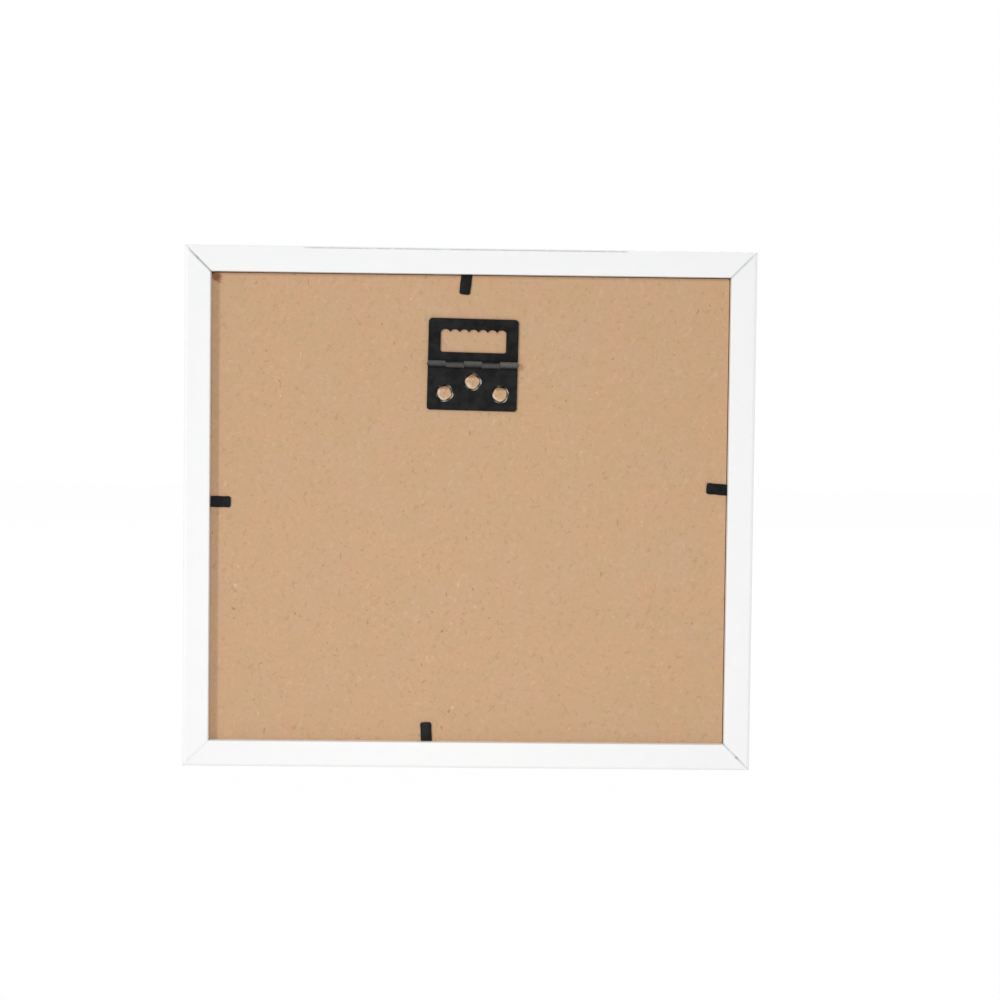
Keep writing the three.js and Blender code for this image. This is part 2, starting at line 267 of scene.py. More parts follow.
def setInputs(node, inputs):
    # an input is linked to another node's output, or is set to a value of its own
    for key, value in inputs.items():
        if isOutput(value):
            node.id_data.links.new(value, node.inputs[key])
        else:
            node.inputs[key].default_value = value


def addNode(kind, inputs, tree=None, **settings):
    tree = tree or next(value.id_data for value in inputs.values() if isOutput(value))
    node = tree.nodes.new("ShaderNode" + kind)
    for key, value in settings.items():
        setattr(node, key, value)
    setInputs(node, inputs)
    return node


def maths(operation, a, b):
    return addNode("Math", {0: a, 1: b}, operation=operation).outputs[0]


def product(value, *others):
    for other in others:
        value = maths("MULTIPLY", value, other)
    return value


def apart(a, b=0.0):
    # the distance between two numbers
    return maths("ABSOLUTE", maths("SUBTRACT", a, b), 0)


def vectorMaths(operation, a, b):
    node = addNode("VectorMath", {0: a, 1: b}, operation=operation)
    return node.outputs["Vector" if operation == "SUBTRACT" else "Value"]


def axes(coords):
    return addNode("SeparateXYZ", {"Vector": coords}).outputs


def stretched(coords, lengths, degrees=0.0):
    # coordinates in which a pattern is drawn out by the given lengths, along axes turned about Y
    inputs = {"Vector": coords, "Scale": lengths, "Rotation": (0, math.radians(degrees), 0)}
    return addNode("Mapping", inputs, vector_type="TEXTURE").outputs[0]


def noise(coords, size, detail=3.0, roughness=0.5, wander=0.0):
    # cloud noise whose lumps are about the given size in millimetres
    inputs = {"Vector": coords, "Scale": 1 / (size * mm), "Detail": detail, "Roughness": roughness}
    return addNode("TexNoise", {**inputs, "Distortion": wander}).outputs["Fac"]


def ramp(value, low, high, outLow=0.0, outHigh=1.0):
    # an eased step from outLow to outHigh as the value goes from low to high
    inputs = {"Value": value, "From Min": low, "From Max": high, "To Min": outLow, "To Max": outHigh}
    return addNode("MapRange", inputs, interpolation_type="SMOOTHSTEP").outputs["Result"]


def fade(distance, stretch, most=1.0):
    # rises from nothing to most over a stretch of distance, given by its two ends in millimetres
    return ramp(distance, *(end * mm for end in stretch), 0, most)


def mottle(coords, size, spread, outLow=0.0, outHigh=1.0, detail=3.0, roughness=0.5):
    # even patches: an eased step as cloud noise passes its middle value, from spread below to spread above
    return ramp(noise(coords, size, detail, roughness), 0.5 - spread, 0.5 + spread, outLow, outHigh)


def roughened(coords, distance, size, reach):
    # a distance with a ragged edge: cloud noise adds up to reach to it
    return maths("ADD", distance, product(noise(coords, size), reach * mm))


def colour(red, green, blue):
    # linear values of a colour that is given on the 0 to 255 screen scale
    share = np.array([red, green, blue]) / 255
    linear = np.where(share <= 0.04045, share / 12.92, ((share + 0.055) / 1.055) ** 2.4)
    return (*linear.tolist(), 1.0)


def colourMix(factor, a, b):
    # a colour is another node's output, or is given on the screen scale
    a, b = (shade if isOutput(shade) else colour(*shade) for shade in (a, b))
    return addNode("Mix", {0: factor, 6: a, 7: b}, data_type="RGBA").outputs[2]


def paint(shader, look, base, roughness, height):
    # height is the surface's fine relief, shown by a bump with the look's tooth
    strength, depth = look["tooth"]
    bump = addNode("Bump", {"Height": height, "Strength": strength, "Distance": depth * mm})
    inputs = {"Base Color": base, "Roughness": roughness, "Normal": bump.outputs["Normal"]}
    setInputs(shader, {**inputs, "Specular IOR Level": look["specular"]})


def fibrousFinish(name, look):
    # soft clouds under short fibres that stand up a little
    finish, shader, coords = newFinish(name)
    fibres = noise(stretched(coords, look["fibreLengths"]), *look["fibres"])
    base = colourMix(mottle(coords, *look["clouds"]), *look["shades"])
    base = colourMix(ramp(fibres, *look["fibreRange"]), base, look["fibre"])
    paint(shader, look, base, look["roughness"], fibres)
    return finish


# Rails: an L section wrapped in foil, mitred at both ends, with pale fibre where the foil ends
railBack, railFront = (corner[1] for corner in nodeBox("rail_top"))
rails = {
    "backWidth": 12.8, "lipReach": 5.5, "lipThickness": 4.8,
    "rounds": {"outer": (2.0, 8), "back": (0.4, 6), "lipBack": (0.3, 4), "lip": (0.7, 6)},  # radius, steps
    "foilTurn": 5.2,  # how far the foil turns in down the rebate and behind the lip
    "foilThickness": 0.05,
    "drawIn": 0.4,  # of a worn end, as a share of how far its edges are worn back
    "turns": {"bottom": 0, "right": -90, "top": 180, "left": 90},  # degrees about Y
    "ends": {  # the corners at a rail's two ends
        "bottom": ("bottom_left", "bottom_right"),
        "right": ("bottom_right", "top_right"),
        "top": ("top_right", "top_left"),
        "left": ("top_left", "bottom_left"),
    },
}
corners = {  # the open mitre's width, how far its edges are worn back, the hole over the nail, and the dirt
    "top_left": {"gap": 0.07, "ease": 0.4, "hole": 1.1, "smudge": 0.6},
    "top_right": {"gap": 0.05, "ease": 0.3, "hole": 0.3, "smudge": 0.3},
    "bottom_right": {"gap": 0.05, "ease": 0.3, "hole": 1.4, "smudge": 0.28},
    "bottom_left": {"gap": 0.03, "ease": 0.12, "hole": 0.2, "smudge": 0.05},
}
nailHoles = {
    "depth": 0.33,
    "cutAbove": 1.0,
    "kite": ((0, -1), (0.45, -0.1), (0, 1.2), (-0.5, 0.15)),  # across and along the mitre, for size 1
}
foilLook = {
    "shades": ((240, 241, 241), (242, 242, 242)),
    "clouds": (9, 0.15), "gloss": (4, 0.2, 0.38, 0.5),
    "grain": (0.35, 4, 0.6), "tooth": (0.12, 0.03),
    "specular": 0.35,
    "dirtSize": 3,  # of the breaks in the glue line and in the smudges
    "dirtRange": (0.3, 0.5, 0.55, 1),
    "dirtDepth": 1.0,  # how far it reaches down from the rails' backs
}
glueLine = {  # along the top rail's outer edge; it starts at the first distance and is full at the second
    "middle": -3.0,
    "along": (81, 77),
    "height": 256.2,
    "across": (0.5, 0.15),
    "colour": (197, 197, 199),
}
smudges = {"across": (1.3, 0.26), "fromSide": (1.2, 3.2), "colour": (150, 149, 147)}
coreLook = {
    "shades": ((206, 192, 176), (216, 204, 190)),
    "clouds": (6, 0.2, 0, 1, 2),
    "fibre": (172, 150, 128), "fibres": (0.5, 4, 0.65), "fibreLengths": (1, 0.4, 1),
    "fibreRange": (0.62, 0.72),
    "tooth": (0.5, 0.12), "roughness": 0.9, "specular": 0.2,
}
foilSlot, coreSlot = 0, 1


def onGlueLine(x, z):
    along = fade(apart(x, glueLine["middle"] * mm), glueLine["along"])
    return product(along, fade(apart(z, glueLine["height"] * mm), glueLine["across"]))


def onSmudges(x, z):
    # a mitre runs where the distances from the two nearest outer faces are equal
    aboveMiddle = maths("SUBTRACT", z, frameHeight / 2 * mm)
    fromSide = maths("SUBTRACT", frameWidth / 2 * mm, apart(x))
    fromEnd = maths("SUBTRACT", frameHeight / 2 * mm, apart(aboveMiddle))
    onMitre = product(fade(apart(fromSide, fromEnd), smudges["across"]), fade(fromSide, smudges["fromSide"]))
    isRight = maths("GREATER_THAN", x, 0)
    isTop = maths("GREATER_THAN", aboveMiddle, 0)
    rows = ([corners[f"{end}_{hand}"]["smudge"] for hand in ("left", "right")] for end in ("bottom", "top"))
    return product(onMitre, ramp(isTop, 0, 1, *(ramp(isRight, 0, 1, *row) for row in rows)))


def whiteFoilFinish():
    # satin foil: a faint mottle, a fine pressed grain, soft smudges along the mitres and a dull glue line
    finish, shader, coords = newFinish("whiteFoil")
    look = foilLook
    x, y, z = axes(coords)
    onBack = maths("LESS_THAN", y, (railBack + look["dirtDepth"]) * mm)
    patchy = product(ramp(noise(coords, look["dirtSize"]), *look["dirtRange"]), onBack)
    base = colourMix(mottle(coords, *look["clouds"]), *look["shades"])
    base = colourMix(product(onGlueLine(x, z), patchy), base, glueLine["colour"])
    base = colourMix(product(onSmudges(x, z), patchy), base, smudges["colour"])
    paint(shader, look, base, mottle(coords, *look["gloss"]), noise(coords, *look["grain"]))
    return finish


def onSide(points, side):
    # from a rail's own axes, x along it and z inwards from the frame's outer face, to the model's axes
    across = frameWidth if side in ("left", "right") else frameHeight
    x, y, z = np.asarray(points, float).T
    x, z = turnedAboutY(x, z - across / 2, rails["turns"][side])
    return np.stack([x, y, z + frameHeight / 2], 1)


def railSection():
    # closed section as (inwards, depth), and for each point the finish of the stretch that follows it
    r = rails
    width = r["backWidth"]
    lip = width + r["lipReach"]
    seat = railFront - r["lipThickness"]
    core = width - r["foilThickness"]
    turnIn = railBack + r["foilTurn"]

    def rounded(name, u, v, signU, signV, start):
        # a quarter turn in the corner at (u, v), whose middle lies to the sides that the signs give
        radius, steps = r["rounds"][name]
        return arc(u + signU * radius, v + signV * radius, radius, start, start + 90, steps), foilSlot

    stretches = [
        rounded("outer", 0, railBack, 1, 1, 180),
        rounded("back", width, railBack, -1, 1, 270),
        ([[width, turnIn], [core, turnIn], [core, seat]], coreSlot),
        ([[lip - r["foilTurn"], seat]], foilSlot),
        rounded("lipBack", lip, seat, -1, 1, 270),
        rounded("lip", lip, railFront, -1, -1, 0),
        rounded("outer", 0, railFront, 1, -1, 90),
    ]
    parts, slots = zip(*stretches)
    return joined(*parts), np.repeat(slots, [len(part) for part in parts])


def drawnIn(section, distance):
    # the section moved inwards along its own normals
    tangent = np.roll(section, -1, 0) - np.roll(section, 1, 0)
    normal = np.stack([-tangent[:, 1], tangent[:, 0]], 1)
    return section + distance * normal / np.linalg.norm(normal, axis=1, keepdims=True)


def nailHole(corner):
    # a kite along the mitre, over the tip of the corner nail, in x and z
    signs = np.array([1 if "right" in corner else -1, 1 if "top" in corner else -1])
    halfSize = np.array([frameWidth, frameHeight]) / 2
    middle = signs * (halfSize - rails["backWidth"] / 2) + [0, frameHeight / 2]
    inwards = -signs / math.sqrt(2)
    across = np.array([inwards[1], -inwards[0]])
    outline = corners[corner]["hole"] * np.array(nailHoles["kite"])
    flat = middle + outline[:, :1] * across + outline[:, 1:] * inwards
    return prism(flat, railBack - nailHoles["cutAbove"], railBack + nailHoles["depth"])


def railPiece(side, finishes):
    # the section carried from mitre to mitre, drawn in slightly at each end
    section, slots = railSection()
    length = frameHeight if side in ("left", "right") else frameWidth
    rows = []
    for end, eased in ((-1, True), (-1, False), (1, False), (1, True)):
        corner = corners[rails["ends"][side][0 if end < 0 else 1]]
        outline = drawnIn(section, rails["drawIn"] * corner["ease"]) if eased else section
        shave = corner["gap"] / math.sqrt(2) + (0 if eased else corner["ease"])
        along = end * (length / 2 - outline[:, 0] - shave)
        rows.append(np.stack([along, outline[:, 1], outline[:, 0]], 1))
    points, faces = tube(np.array(rows))
    faceSlots = joined(np.tile(slots, len(rows) - 1), [coreSlot, coreSlot])
    piece = makePiece(f"rail.{side}", onSide(points, side), faces, finishes, faceSlots)
    cuts = [nailHole(corner) for corner in rails["ends"][side]] + [tabStrip(side, tabs["slotRoom"])]
    carve(piece, cuts, coreSlot)
    flattenFaces(piece)
    dress(piece, "frame", f"rail_{side}")


# Corner nails: strips across the mitres, which keep their CAD meshes
nailLook = {
    "shades": ((150, 151, 153), (186, 187, 189)),
    "lineLengths": (0.17, 2.5, 0.17),
    "clouds": (0.6, 0.2),
    "gloss": (0.6, 0.2, 0.3, 0.45),
}


def brightSteelFinish():
    # bare strip steel with draw lines along its length
    finish, shader, coords = newFinish("brightSteel")
    drawn = stretched(coords, nailLook["lineLengths"])
    setInputs(shader, {
        "Base Color": colourMix(mottle(drawn, *nailLook["clouds"]), *nailLook["shades"]),
        "Roughness": mottle(drawn, *nailLook["gloss"]),
        "Metallic": 1.0,
    })
    return finish


# Black steel, the finish of the tabs and of the hanger
steelLook = {
    "coats": ((13, 13, 14), (30, 30, 31)),
    "clouds": (5, 0.14, 0, 1, 4, 0.65),
    "speck": (72, 71, 70), "speckSize": 1.0, "speckLengths": (1.8, 1, 1),
    "speckTurn": 35,  # degrees
    "speckRange": (0.7, 0.76, 0, 0.5),
    "scuffs": (0.6, 5, 0.65),
    # the rubbed grey is worn coat, and is used also as painted sheen where light falls
    "rubbedSheen": (92, 91, 90),
    "rubSheen": (0.35, (0.05, 0.45), (0.02, 0.2)),  # how far scuffs carry it, the range of its edge and of bare
    "steel": (196, 190, 182),
    "tear": (0.9, (0.5, 0.8), (0.3, 0.5)),
    "metallic": 0.55,
    "gloss": (2.5, 0.2, 0.36, 0.5, 4, 0.6),
    "grain": (0.25, 3, 0.6), "tooth": (0.15, 0.02),
    "specular": 0.11,
}


def blackSteelFinish():
    # thin satin coat on sheet steel; as the point attribute of wear rises it is rubbed grey, then torn off
    # the steel; the same attribute also paints sheen and glints where light falls
    finish, shader, coords = newFinish("blackSteel")
    look = steelLook
    wearAndSheen = addNode("Attribute", {}, shader.id_data, attribute_name="wearAndSheen").outputs["Fac"]
    scuffs = maths("SUBTRACT", noise(coords, *look["scuffs"]), 0.5)

    def worn(reach, edgeRange, bareRange):
        edge = maths("ADD", wearAndSheen, product(scuffs, reach))
        return product(ramp(edge, *edgeRange), ramp(wearAndSheen, *bareRange))

    tornAndGlint = worn(*look["tear"])
    scattered = stretched(coords, look["speckLengths"], look["speckTurn"])
    specks = ramp(noise(scattered, look["speckSize"]), *look["speckRange"])
    coat = colourMix(mottle(coords, *look["clouds"]), *look["coats"])
    coat = colourMix(specks, coat, look["speck"])
    coat = colourMix(worn(*look["rubSheen"]), coat, look["rubbedSheen"])
    base = colourMix(tornAndGlint, coat, look["steel"])
    paint(shader, look, base, mottle(coords, *look["gloss"]), noise(coords, *look["grain"]))
    setInputs(shader, {"Metallic": product(tornAndGlint, look["metallic"])})
    return finish


# Retaining tabs: each one strip from its root in the rail, over its bend, to its rounded end on the board
tabs = {
    "width": 5.5, "thickness": 0.5,
    "reach": 10.1,  # out of the rail
    "rootDepth": 6.0,  # into the rail
    "endRound": 1.3, "edgeRound": 0.13, "edgePoints": 4,
    "endEase": 0.065,  # of the end's own edge
    "waver": 0.05,  # of the sheared sides
    "waverTurn": 1.1,  # radians to the millimetre
    "slotRoom": 0.1,
    "bendRows": (-0.6, 2.6, 17),  # from, to and how many
    "flatStart": 3.2, "flatRows": 10,
    "endTurns": (10, 90, 9),  # degrees round the free end from, to and how many
    "bendRoute": (-0.1, 1.4),  # out of the rail, where the bend starts and ends
    "places": {"bottom": -20.0, "right": 10.8, "top": 2.4, "left": -2.4},  # along each rail
    "leans": {"bottom": -2.9, "right": 4.4, "top": 6.2, "left": 0.4},  # degrees
    "drives": {"bottom": 0.7, "right": -0.3, "top": 0.2, "left": 0.0},  # how much deeper each was driven
}
tabMiddle = joints["top_tab_bend"]["pos_m"][1] / mm


def tabStrip(side, growth=0.0):
    # a flat loop with round edges carried out of the rail; its half width shrinks round the free end
    t = tabs
    corner = t["reach"] - t["drives"][side] - t["endRound"]
    along = joined(
        [-t["rootDepth"] - t["drives"][side] - growth],
        np.linspace(*t["bendRows"]),
        np.linspace(t["flatStart"], corner, t["flatRows"]),
        corner + t["endRound"] * np.sin(np.radians(np.linspace(*t["endTurns"]))),
    )
    turned = np.clip((along - corner) / t["endRound"], 0, 1)
    place = t["places"][side]
    waver = 0 if growth else t["waver"] * np.sin(t["waverTurn"] * along + place) * (along > 0)
    half = t["width"] / 2 + growth - t["endRound"] * (1 - np.sqrt(1 - turned ** 2)) + waver
    thick = np.full(len(along), t["thickness"] / 2 + growth)
    half[-1] -= t["endEase"]
    thick[-1] -= t["endEase"]
    edge, count = t["edgeRound"], t["edgePoints"]
    angle = np.radians([np.linspace(90 * k, 90 * k + 90, count) for k in range(4)]).ravel()
    signX = np.repeat([1, -1, -1, 1], count)
    signY = np.repeat([1, 1, -1, -1], count)
    x = signX * (half[:, None] - edge) + edge * np.cos(angle)
    y = tabMiddle + signY * (thick[:, None] - edge) + edge * np.sin(angle)
    x, z = turnedAboutY(x, along[:, None], t["leans"][side])
    points, faces = tube(np.stack([x + place, y, z + rails["backWidth"]], -1))
    return onSide(points, side), faces


def tabPiece(side, finish):
    points, faces = tabStrip(side)
    piece = makePiece(f"tab.{side}", points, faces, [finish], wearAndSheen=np.zeros(len(points)))
    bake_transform(piece)
    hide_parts(f"tab_shank_{side}", f"retaining_tab_{side}")


# Hanger: two leaves of one sheet, rolled round a pin, with three stakes burst through into the board
hanger = {
    "width": 44.6,
    "reach": 22.65,  # of a leaf from the hinge line
    "sheet": 0.8,
    "knuckles": 5, "knuckleGap": 0.12, "notchClearance": 0.1,
    "curlTurn": 295,  # degrees that each tongue is rolled through
    "curlRows": 37, "rootRows": 4, "tongueColumns": 7,
    "edgeEase": 0.11,
    "plateCorner": 1.5, "loopCorner": 2.0, "cornerSteps": 6,
    # the rubbed grey on the knuckles is mostly painted sheen, put on the upper side of each roll where the
    # light from above falls, with some real wear
    "knuckleWearAndSheen": (0.34, 0.28, 0.37, 0.27, 0.48),
    "plateSheen": (40, 265, 110),  # degrees of a tongue's roll where its rubbed coat starts, ends and fades
    "loopSheen": (95, 232, 40),
    "sheenRise": 30,  # degrees
}
hingePin = {
    "radius": 0.85, "clearance": 0.1, "overhang": 0.4, "dome": 0.3,
    "flatShare": 0.35,  # of the radius, left flat on each peened end
    "domeTurns": (8, 90, 6),  # degrees from, to and how many
    "sideInset": 1.0, "sideRows": 5, "columns": 32,
    "sideWear": 0.3, "endWear": 0.5, "endLength": 0.5,
}
loopWindow = {
    "width": 32.35, "near": 6.0, "far": 17.3, "corner": 1.0, "scallops": 7, "scallopDepth": 1.4,
    "steps": {"hinge": (4, 6, 5, 6, 4), "corner": 5, "side": 8, "scallop": 8},
}
stakes = {
    "places": ((-13.7, 14.3), (0.0, 8.4), (13.7, 14.3)),  # across, and down from the hinge line
    "turns": (12, 41, 25),  # degrees, of each crown of petals
    "columnEdge": 7.0,  # where the plate's surface is divided between the stakes
    "columnSteps": {"beside": 4, "side": 14, "far": 12},
    "petals": 6,
    "petalFill": 0.55,  # the power that broadens the petals
    "petalRows": (0.35, 0.7, 1.0),
    "sway": ((2, 1, 0.16),),  # count, phase and share, as in the other waves
    "uneven": ((1, 2.1, 0.12),),
    "ragged": ((4, 1.7, 0.035), (7, 1, 0.02)),
    "mouthRadii": (5.1, 4.88, 4.68, 4.48, 4.28, 4.1, 3.96, 3.86, 3.8),
    "mouthDepths": (0.0, 0.01, 0.04, 0.1, 0.24, 0.42, 0.62, 0.8, 0.92),  # below the plate's face
    "underRows": ((0.55, 0.06), (0.85, 0.0), (1.3, 0.0)),  # out from the neck, and below the plate's back
    "slitDepth": 1.0,  # below the plate's face, where two petals part
    "petalDepth": 2.8, "tipRadius": 3.66, "tearWall": 0.3, "wall": 0.4,
    "bareFrom": 4.4,  # radius inside which the coat is torn off
    "tornMean": 0.35,
    # bare steel is put more towards the lower right, as painted glints where light falls on the torn petals
    "glintLean": (0.35, 0.2),  # across and down
    "tornWaves": ((5, 2, 0.3),),
}
hingePlace = np.array(joints["loop_hinge"]["pos_m"]) / mm
hingeAlong = np.array(joints["loop_hinge"]["axis"])
hingeDepthwise = np.array([0.0, 1.0, 0.0])
hingeUp = np.cross(hingeAlong, hingeDepthwise)
halfSheet = hanger["sheet"] / 2
rollRadius = hingePin["radius"] + hingePin["clearance"] + halfSheet
notchEdge = rollRadius + halfSheet + hanger["notchClearance"]
knucklePitch = hanger["width"] / hanger["knuckles"]
leafHalf = hanger["width"] / 2 - hanger["knuckleGap"] / 2
plateSide, loopSide = -1, 1  # which way each leaf lies from the hinge line
sameLevel = 1e-6


def atHinge(x, y, z):
    # from the hinge's own axes to the model's: x along the pin, y towards the board, z up
    x, y, z = np.broadcast_arrays(x, y, z)
    return hingePlace + x[..., None] * hingeAlong + y[..., None] * hingeDepthwise + z[..., None] * hingeUp


def rolled(x, out, depth, side):
    # a point of the flat sheet on its rolled leaf: out is the distance from the hinge line, and what lies
    # past that line is wound round the pin; depth runs from the sheet's middle towards the board
    turn = np.maximum(-np.asarray(out, float), 0) / rollRadius
    radius = rollRadius + np.asarray(depth, float)
    y = radius * np.cos(turn)
    z = side * (np.maximum(out, 0) - radius * np.sin(turn))
    return atHinge(x, y, z)


def tongueSpan(number):
    middle = (number + 0.5) * knucklePitch - hanger["width"] / 2
    half = (knucklePitch - hanger["knuckleGap"]) / 2
    return middle - half, middle + half


def tongueSamples(number):
    return np.linspace(*tongueSpan(number), hanger["tongueColumns"])


def tongue(number, side):
    # the strip's closed section carried from the leaf's edge to the hinge line and round the pin
    across = tongueSamples(number)
    x = joined(across, across[::-1])
    depth = np.repeat([-halfSheet, halfSheet], len(across))
    wound = rollRadius * math.radians(hanger["curlTurn"])
    root = np.linspace(notchEdge, 0, hanger["rootRows"])[:-1]
    out = joined(root, -np.linspace(0, wound, hanger["curlRows"]))
    points, faces = tube(rolled(x, out[:, None], depth, side), startCap=False)
    # the rubbed grey rises on the upper side of the roll: painted sheen where light from above falls, with
    # some wear
    turn = np.degrees(np.maximum(-out, 0) / rollRadius)
    start, end, fading = hanger["plateSheen" if side == plateSide else "loopSheen"]
    sheen = np.clip((turn - start) / hanger["sheenRise"], 0, 1) * np.clip((end - turn) / fading, 0, 1)
    wearAndSheen = np.repeat(hanger["knuckleWearAndSheen"][number] * sheen, len(x))
    return points, faces, wearAndSheen


def ringFaces(rows, outer, closed):
    # a band from the outer edge's face row to its back row; closed says which stretches of that edge
    # need a wall between the two
    count = len(outer)
    here = np.arange(count)
    after = (here + 1) % count
    last = (rows - 1) * count
    wall = np.stack([here, after, last + after, last + here], 1)
    return bandFaces(rows, count) + wall[closed].tolist()


def runsAlong(outer, axis, level):
    # the stretches of an outline that lie on one level of an axis
    onLevel = np.abs(outer[:, axis] - level) < sameLevel
    return onLevel & np.roll(onLevel, -1)


def onTongue(outer, numbers):
    # the stretches of an outline that run along the root of a tongue
    middle = (outer[:, 0] + np.roll(outer[:, 0], -1)) / 2
    spans = [tongueSpan(number) for number in numbers]
    return runsAlong(outer, 1, notchEdge) & np.any([(middle > a) & (middle < b) for a, b in spans], 0)


def stakeColumn(index):
    # outline of the plate between two dividing lines: the hinge edge with its tongue, then the other sides
    steps, edge = stakes["columnSteps"], stakes["columnEdge"]
    low, high = ((-leafHalf, -edge), (-edge, edge), (edge, leafHalf))[index]
    far, corner = hanger["reach"], hanger["plateCorner"]
    across = tongueSamples(2 * index)
    outline = [atLevel(across, notchEdge)[:-1]]
    if index > 0:
        outline.insert(0, line((low, notchEdge), (across[0], notchEdge), steps["beside"]))
    if index < 2:
        outline.append(line((across[-1], notchEdge), (high, notchEdge), steps["beside"]))
    right, left = [[high, far]], [[low, far]]
    if index == 2:
        right = arc(high - corner, far - corner, corner, 0, 90, hanger["cornerSteps"])
    if index == 0:
        left = arc(low + corner, far - corner, corner, 90, 180, hanger["cornerSteps"])
    outline += [line((high, notchEdge), right[0], steps["side"]), right]
    outline += [line(right[-1], left[0], steps["far"])[1:], left]
    return joined(*outline, line(left[-1], (low, notchEdge), steps["side"])[1:])


def stakeRing(index):
    # rows of one radius and depth for each direction from the stake's middle: the plate's face, the rolled
    # mouth, the petals, whose tips rise and fall with |cos|, and back up outside to the plate's other face
    s = stakes
    outer = stakeColumn(index)
    middle = np.array(s["places"][index])
    angle = np.arctan2(outer[:, 1] - middle[1], outer[:, 0] - middle[0])
    direction = np.stack([np.cos(angle), np.sin(angle)], 1)
    swayed = angle - math.radians(s["turns"][index]) + waves(angle, index, s["sway"])
    petal = np.abs(np.cos(s["petals"] / 2 * swayed)) ** s["petalFill"]
    petalDepth = s["petalDepth"] * (1 + waves(angle, index, s["uneven"]))
    tipDepth = s["slitDepth"] + (petalDepth - s["slitDepth"]) * petal
    neckRadius, neckDepth = s["mouthRadii"][-1], s["mouthDepths"][-1]
    ragged = 1 + waves(angle, index, s["ragged"])
    level = np.ones(len(outer))
    under = hanger["sheet"]

    def petalRow(share, wall=0.0):
        radius = ragged * (neckRadius + (s["tipRadius"] - neckRadius) * share * petal) + wall
        return radius, neckDepth + (tipDepth - neckDepth) * share

    rows = [(radius * ragged, depth * level) for radius, depth in zip(s["mouthRadii"], s["mouthDepths"])]
    rows += [petalRow(share) for share in s["petalRows"]]
    thinning = s["tearWall"] - s["wall"]
    rows += [petalRow(share, s["wall"] + thinning * share) for share in s["petalRows"][::-1]]
    rows += [((neckRadius + out) * level, (under + below) * level) for out, below in s["underRows"]]
    flat = joined(outer, *(middle + radius[:, None] * direction for radius, _ in rows), outer)
    depth = joined(0 * level, *(depth for _, depth in rows), under * level)
    points = rolled(*flat.T, depth - halfSheet, plateSide)
    tornRows = [radius < s["bareFrom"] for radius in s["mouthRadii"]] + [True] * len(s["petalRows"])
    rowBare = np.pad(np.array(tornRows, float), (1, len(rows) + 1 - len(tornRows)))
    # torn steel leans to the lower right: real tearing together with painted glints
    tornAndGlint = np.clip(s["tornMean"] + direction @ s["glintLean"] + waves(angle, index, s["tornWaves"]), 0, 1)
    onDivide = runsAlong(outer, 0, -s["columnEdge"]) | runsAlong(outer, 0, s["columnEdge"])
    closed = ~onDivide & ~onTongue(outer, (2 * index,))
    return points, ringFaces(len(rows) + 2, outer, closed), np.outer(rowBare, tornAndGlint).ravel()


def leafPiece(name, body, node, parts, finish, eased=lambda middle: True):
    # several surfaces as one list of points, faces and wear with painted sheen; coinciding points are welded
    # afterwards
    starts = np.cumsum([0] + [len(part[0]) for part in parts])
    points, wearAndSheen = (joined(*(part[column] for part in parts)) for column in (0, 2))
    faces = [[start + corner for corner in face] for start, part in zip(starts, parts) for face in part[1]]
    piece = makePiece(name, points, faces, [finish], wearAndSheen=wearAndSheen)
    easeEdges(piece, hanger["edgeEase"], eased)
    dress(piece, body, node)


def platePiece(finish):
    parts = [stakeRing(index) for index in range(3)] + [tongue(number, plateSide) for number in (0, 2, 4)]
    centres = [rolled(*place, 0, plateSide) for place in stakes["places"]]

    def offStakes(middle):
        away = [math.hypot(middle.x - centre[0], middle.z - centre[2]) for centre in centres]
        return min(away) > stakes["mouthRadii"][0]

    leafPiece("hanger.plate", "frame", "hanger_plate", parts, finish, offStakes)


def loopOutlines():
    # the window and the leaf's outline with matching points: along the hinge side, down the right side,
    # along the scallops and up the left side
    w, steps = loopWindow, loopWindow["steps"]
    half, rounding = w["width"] / 2, w["corner"]
    far, corner = hanger["reach"], hanger["loopCorner"]
    breaks = [-leafHalf, *tongueSpan(1), *tongueSpan(3), leafHalf]
    spans = zip(breaks, breaks[1:], steps["hinge"])
    top = joined(*(np.linspace(a, b, count + 1)[:-1] for a, b, count in spans))
    outerTop = atLevel(top, notchEdge)
    innerTop = atLevel(top * (half - rounding) / leafHalf, w["near"])
    tips = w["far"] - w["scallopDepth"]
    innerCorner = arc(half - rounding, w["near"] + rounding, rounding, -90, 0, steps["corner"])[:-1]
    innerSide = line((half, w["near"] + rounding), (half, tips), steps["side"])
    sideEnd = far - corner
    outerSide = line((leafHalf, notchEdge), (leafHalf, sideEnd), steps["corner"] + steps["side"])
    chord = w["width"] / w["scallops"]
    radius = (chord ** 2 / 4 + w["scallopDepth"] ** 2) / (2 * w["scallopDepth"])
    spread = math.degrees(math.asin(chord / 2 / radius))
    middles = half - (np.arange(w["scallops"]) + 0.5) * chord
    scallop = arc(0, w["far"] - radius, radius, 90 - spread, 90 + spread, steps["scallop"])[:-1]
    innerFar = joined(*(scallop + [middle, 0] for middle in middles))
    turned = arc(leafHalf - corner, sideEnd, corner, 0, 90, hanger["cornerSteps"])
    mirror = np.array([-1, 1])
    straight = line(turned[-1], turned[-1] * mirror, len(innerFar) - 2 * hanger["cornerSteps"])
    outerFar = joined(turned[:-1], straight, (turned * mirror)[::-1][:-1])

    def mirrored(points, start):
        # the same stretch on the left, walked the other way from its own first point
        return joined([start], (points * mirror)[::-1][:-1])

    innerDown = joined(innerCorner, innerSide)
    inner = joined(innerTop, innerDown, innerFar, mirrored(innerDown, (-half, tips)))
    outer = joined(outerTop, outerSide, outerFar, mirrored(outerSide, (-leafHalf, sideEnd)))
    return inner, outer


